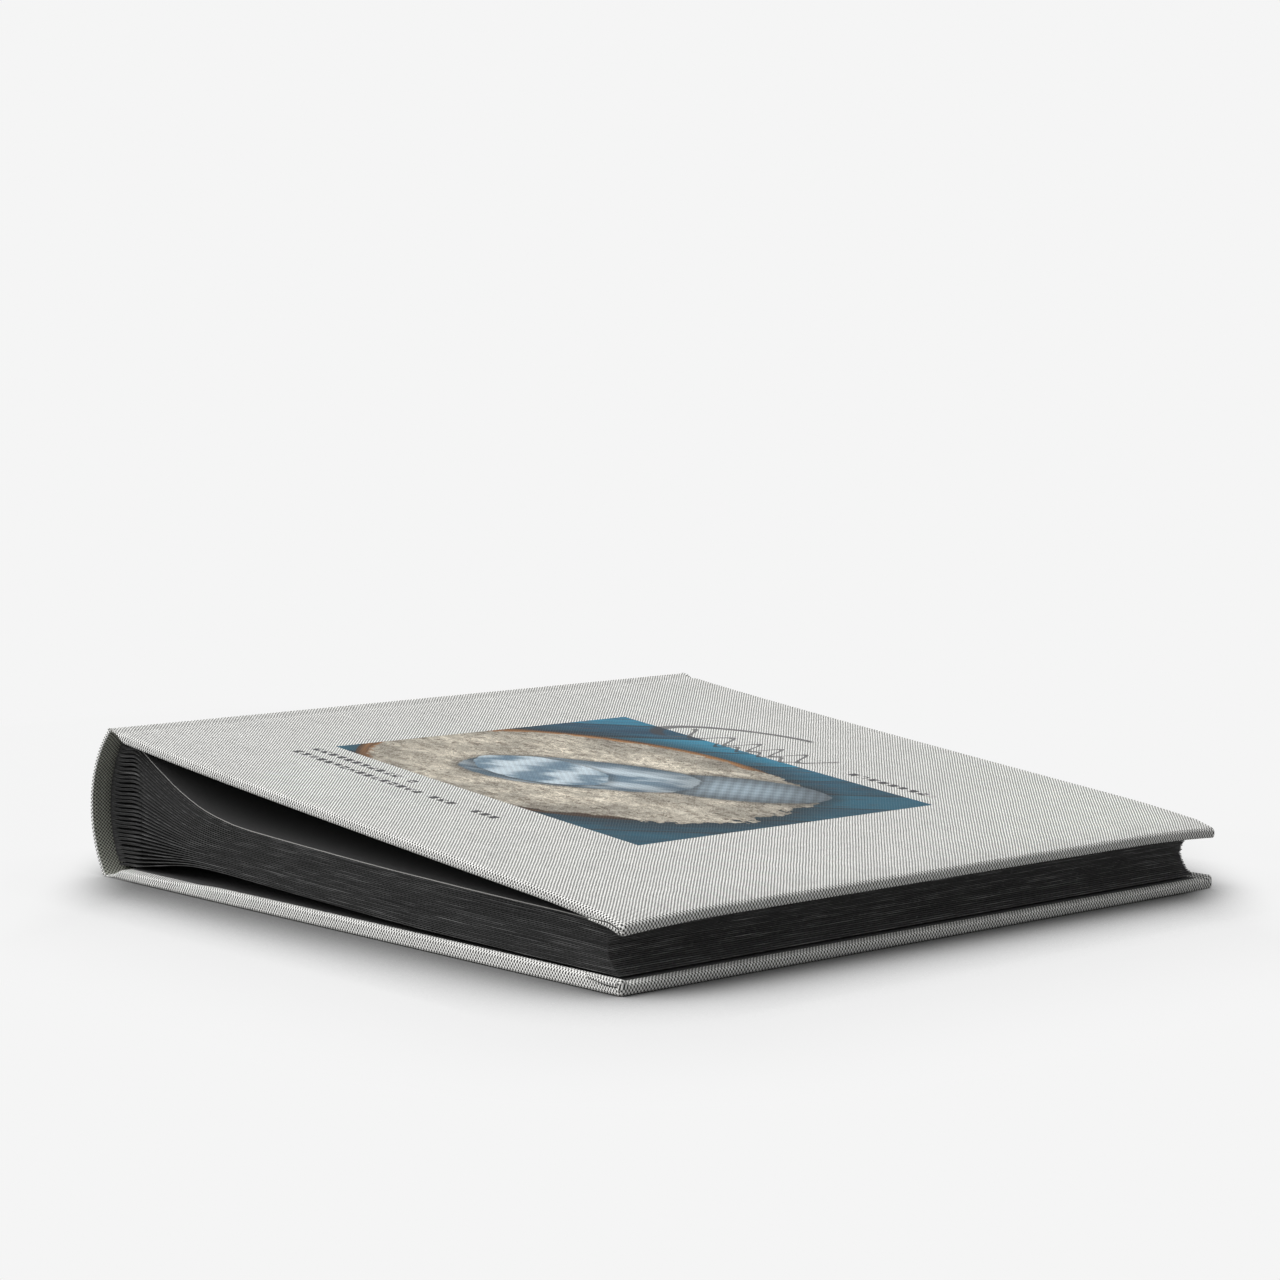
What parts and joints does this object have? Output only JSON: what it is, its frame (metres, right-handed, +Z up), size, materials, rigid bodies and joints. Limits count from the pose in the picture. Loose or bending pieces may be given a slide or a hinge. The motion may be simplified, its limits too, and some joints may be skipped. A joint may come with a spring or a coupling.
{
  "type": "scrapbook album",
  "caption": "Square cloth-bound album with a rounded spine, stiff covers and black card leaves that fold on guard strips, lying closed on its back cover.",
  "frame": {"origin": "middle of the back cover's outer face, which lies on the table", "axes": "+X from the spine to the fore edge, +Y from the tail edge to the head edge, +Z up through the closed album"},
  "size_m": [0.3241, 0.31, 0.0604],
  "materials": {
    "linen": "matte",
    "grey_board": "matte",
    "black_paper": "matte",
    "lining": "matte"
  },
  "bodies": {
    "binding": {"back_board": "grey_board", "back_cover_cloth": "linen", "back_infill_card": "lining", "back_pasted_paper": "black_paper", "spine_cloth": "linen", "spine_card": "grey_board", "spine_lining": "lining", "guard_strips": "black_paper", "back_flyleaf": "black_paper"},
    "front_cover": {"front_board": "grey_board", "front_cover_cloth": "linen", "front_infill_card": "lining", "front_pasted_paper": "black_paper"},
    "leaf_01_body": {"leaf_01": "black_paper"},
    "leaf_02_body": {"leaf_02": "black_paper"},
    "leaf_03_body": {"leaf_03": "black_paper"},
    "leaf_04_body": {"leaf_04": "black_paper"},
    "leaf_05_body": {"leaf_05": "black_paper"},
    "leaf_06_body": {"leaf_06": "black_paper"},
    "leaf_07_body": {"leaf_07": "black_paper"},
    "leaf_08_body": {"leaf_08": "black_paper"},
    "leaf_09_body": {"leaf_09": "black_paper"},
    "leaf_10_body": {"leaf_10": "black_paper"},
    "leaf_11_body": {"leaf_11": "black_paper"},
    "leaf_12_body": {"leaf_12": "black_paper"},
    "leaf_13_body": {"leaf_13": "black_paper"},
    "leaf_14_body": {"leaf_14": "black_paper"},
    "leaf_15_body": {"leaf_15": "black_paper"},
    "leaf_16_body": {"leaf_16": "black_paper"},
    "leaf_17_body": {"leaf_17": "black_paper"},
    "leaf_18_body": {"leaf_18": "black_paper"},
    "leaf_19_body": {"leaf_19": "black_paper"},
    "leaf_20_body": {"leaf_20": "black_paper"},
    "leaf_21_body": {"leaf_21": "black_paper"},
    "leaf_22_body": {"leaf_22": "black_paper"},
    "leaf_23_body": {"leaf_23": "black_paper"},
    "leaf_24_body": {"leaf_24": "black_paper"},
    "leaf_25_body": {"leaf_25": "black_paper"},
    "leaf_26_body": {"leaf_26": "black_paper"},
    "leaf_27_body": {"leaf_27": "black_paper"},
    "leaf_28_body": {"leaf_28": "black_paper"},
    "front_flyleaf_body": {"front_flyleaf": "black_paper"}
  },
  "joints": [
    {"name": "front_cover_hinge", "type": "hinge", "parent": "binding", "child": "front_cover", "pos_m": [-0.1525, 0, 0.06022], "axis": [0, -1, 0], "range_deg": [0, 190]},
    {"name": "leaf_01_fold", "type": "hinge", "parent": "binding", "child": "leaf_01_body", "pos_m": [-0.13753, 0, 0.00771], "axis": [0, -1, 0], "range_deg": [0, 3.32]},
    {"name": "leaf_02_fold", "type": "hinge", "parent": "binding", "child": "leaf_02_body", "pos_m": [-0.13757, 0, 0.00933], "axis": [0, -1, 0], "range_deg": [0, 6.63]},
    {"name": "leaf_03_fold", "type": "hinge", "parent": "binding", "child": "leaf_03_body", "pos_m": [-0.1376, 0, 0.01097], "axis": [0, -1, 0], "range_deg": [0, 9.94]},
    {"name": "leaf_04_fold", "type": "hinge", "parent": "binding", "child": "leaf_04_body", "pos_m": [-0.13764, 0, 0.0126], "axis": [0, -1, 0], "range_deg": [0, 13.25]},
    {"name": "leaf_05_fold", "type": "hinge", "parent": "binding", "child": "leaf_05_body", "pos_m": [-0.13767, 0, 0.01422], "axis": [0, -1, 0], "range_deg": [0, 16.56]},
    {"name": "leaf_06_fold", "type": "hinge", "parent": "binding", "child": "leaf_06_body", "pos_m": [-0.13771, 0, 0.01586], "axis": [0, -1, 0], "range_deg": [0, 19.87]},
    {"name": "leaf_07_fold", "type": "hinge", "parent": "binding", "child": "leaf_07_body", "pos_m": [-0.13774, 0, 0.01749], "axis": [0, -1, 0], "range_deg": [0, 23.18]},
    {"name": "leaf_08_fold", "type": "hinge", "parent": "binding", "child": "leaf_08_body", "pos_m": [-0.13778, 0, 0.01912], "axis": [0, -1, 0], "range_deg": [0, 26.49]},
    {"name": "leaf_09_fold", "type": "hinge", "parent": "binding", "child": "leaf_09_body", "pos_m": [-0.13781, 0, 0.02074], "axis": [0, -1, 0], "range_deg": [0, 29.8]},
    {"name": "leaf_10_fold", "type": "hinge", "parent": "binding", "child": "leaf_10_body", "pos_m": [-0.13784, 0, 0.02237], "axis": [0, -1, 0], "range_deg": [0, 33.11]},
    {"name": "leaf_11_fold", "type": "hinge", "parent": "binding", "child": "leaf_11_body", "pos_m": [-0.13788, 0, 0.024], "axis": [0, -1, 0], "range_deg": [0, 36.42]},
    {"name": "leaf_12_fold", "type": "hinge", "parent": "binding", "child": "leaf_12_body", "pos_m": [-0.13791, 0, 0.02564], "axis": [0, -1, 0], "range_deg": [0, 39.73]},
    {"name": "leaf_13_fold", "type": "hinge", "parent": "binding", "child": "leaf_13_body", "pos_m": [-0.13795, 0, 0.02727], "axis": [0, -1, 0], "range_deg": [0, 43.04]},
    {"name": "leaf_14_fold", "type": "hinge", "parent": "binding", "child": "leaf_14_body", "pos_m": [-0.13798, 0, 0.0289], "axis": [0, -1, 0], "range_deg": [0, 46.35]},
    {"name": "leaf_15_fold", "type": "hinge", "parent": "binding", "child": "leaf_15_body", "pos_m": [-0.13802, 0, 0.03053], "axis": [0, -1, 0], "range_deg": [0, 49.67]},
    {"name": "leaf_16_fold", "type": "hinge", "parent": "binding", "child": "leaf_16_body", "pos_m": [-0.13805, 0, 0.03216], "axis": [0, -1, 0], "range_deg": [0, 52.98]},
    {"name": "leaf_17_fold", "type": "hinge", "parent": "binding", "child": "leaf_17_body", "pos_m": [-0.13809, 0, 0.03379], "axis": [0, -1, 0], "range_deg": [0, 56.29]},
    {"name": "leaf_18_fold", "type": "hinge", "parent": "binding", "child": "leaf_18_body", "pos_m": [-0.13812, 0, 0.03542], "axis": [0, -1, 0], "range_deg": [0, 59.6]},
    {"name": "leaf_19_fold", "type": "hinge", "parent": "binding", "child": "leaf_19_body", "pos_m": [-0.13816, 0, 0.03705], "axis": [0, -1, 0], "range_deg": [0, 62.91]},
    {"name": "leaf_20_fold", "type": "hinge", "parent": "binding", "child": "leaf_20_body", "pos_m": [-0.13819, 0, 0.03868], "axis": [0, -1, 0], "range_deg": [0, 66.22]},
    {"name": "leaf_21_fold", "type": "hinge", "parent": "binding", "child": "leaf_21_body", "pos_m": [-0.13822, 0, 0.04031], "axis": [0, -1, 0], "range_deg": [0, 69.53]},
    {"name": "leaf_22_fold", "type": "hinge", "parent": "binding", "child": "leaf_22_body", "pos_m": [-0.13826, 0, 0.04194], "axis": [0, -1, 0], "range_deg": [0, 72.84]},
    {"name": "leaf_23_fold", "type": "hinge", "parent": "binding", "child": "leaf_23_body", "pos_m": [-0.13829, 0, 0.04356], "axis": [0, -1, 0], "range_deg": [0, 76.15]},
    {"name": "leaf_24_fold", "type": "hinge", "parent": "binding", "child": "leaf_24_body", "pos_m": [-0.13833, 0, 0.04519], "axis": [0, -1, 0], "range_deg": [0, 79.46]},
    {"name": "leaf_25_fold", "type": "hinge", "parent": "binding", "child": "leaf_25_body", "pos_m": [-0.13836, 0, 0.04682], "axis": [0, -1, 0], "range_deg": [0, 82.77]},
    {"name": "leaf_26_fold", "type": "hinge", "parent": "binding", "child": "leaf_26_body", "pos_m": [-0.1384, 0, 0.04845], "axis": [0, -1, 0], "range_deg": [0, 86.08]},
    {"name": "leaf_27_fold", "type": "hinge", "parent": "binding", "child": "leaf_27_body", "pos_m": [-0.13843, 0, 0.05008], "axis": [0, -1, 0], "range_deg": [0, 89.39]},
    {"name": "leaf_28_fold", "type": "hinge", "parent": "binding", "child": "leaf_28_body", "pos_m": [-0.13847, 0, 0.05171], "axis": [0, -1, 0], "range_deg": [0, 92.7]},
    {"name": "front_flyleaf_fold", "type": "hinge", "parent": "binding", "child": "front_flyleaf_body", "pos_m": [-0.1385, 0, 0.05334], "axis": [0, -1, 0], "range_deg": [0, 96.01]}
  ],
  "couplings": [
    {"joint": "leaf_01_fold", "follows": "front_cover_hinge", "ratio": 0.017423},
    {"joint": "leaf_02_fold", "follows": "front_cover_hinge", "ratio": 0.034846},
    {"joint": "leaf_03_fold", "follows": "front_cover_hinge", "ratio": 0.052269},
    {"joint": "leaf_04_fold", "follows": "front_cover_hinge", "ratio": 0.069691},
    {"joint": "leaf_05_fold", "follows": "front_cover_hinge", "ratio": 0.087114},
    {"joint": "leaf_06_fold", "follows": "front_cover_hinge", "ratio": 0.10454},
    {"joint": "leaf_07_fold", "follows": "front_cover_hinge", "ratio": 0.12196},
    {"joint": "leaf_08_fold", "follows": "front_cover_hinge", "ratio": 0.13938},
    {"joint": "leaf_09_fold", "follows": "front_cover_hinge", "ratio": 0.15681},
    {"joint": "leaf_10_fold", "follows": "front_cover_hinge", "ratio": 0.17423},
    {"joint": "leaf_11_fold", "follows": "front_cover_hinge", "ratio": 0.19165},
    {"joint": "leaf_12_fold", "follows": "front_cover_hinge", "ratio": 0.20907},
    {"joint": "leaf_13_fold", "follows": "front_cover_hinge", "ratio": 0.2265},
    {"joint": "leaf_14_fold", "follows": "front_cover_hinge", "ratio": 0.24392},
    {"joint": "leaf_15_fold", "follows": "front_cover_hinge", "ratio": 0.26134},
    {"joint": "leaf_16_fold", "follows": "front_cover_hinge", "ratio": 0.27877},
    {"joint": "leaf_17_fold", "follows": "front_cover_hinge", "ratio": 0.29619},
    {"joint": "leaf_18_fold", "follows": "front_cover_hinge", "ratio": 0.31361},
    {"joint": "leaf_19_fold", "follows": "front_cover_hinge", "ratio": 0.33103},
    {"joint": "leaf_20_fold", "follows": "front_cover_hinge", "ratio": 0.34846},
    {"joint": "leaf_21_fold", "follows": "front_cover_hinge", "ratio": 0.36588},
    {"joint": "leaf_22_fold", "follows": "front_cover_hinge", "ratio": 0.3833},
    {"joint": "leaf_23_fold", "follows": "front_cover_hinge", "ratio": 0.40073},
    {"joint": "leaf_24_fold", "follows": "front_cover_hinge", "ratio": 0.41815},
    {"joint": "leaf_25_fold", "follows": "front_cover_hinge", "ratio": 0.43557},
    {"joint": "leaf_26_fold", "follows": "front_cover_hinge", "ratio": 0.45299},
    {"joint": "leaf_27_fold", "follows": "front_cover_hinge", "ratio": 0.47042},
    {"joint": "leaf_28_fold", "follows": "front_cover_hinge", "ratio": 0.48784},
    {"joint": "front_flyleaf_fold", "follows": "front_cover_hinge", "ratio": 0.50526}
  ]
}
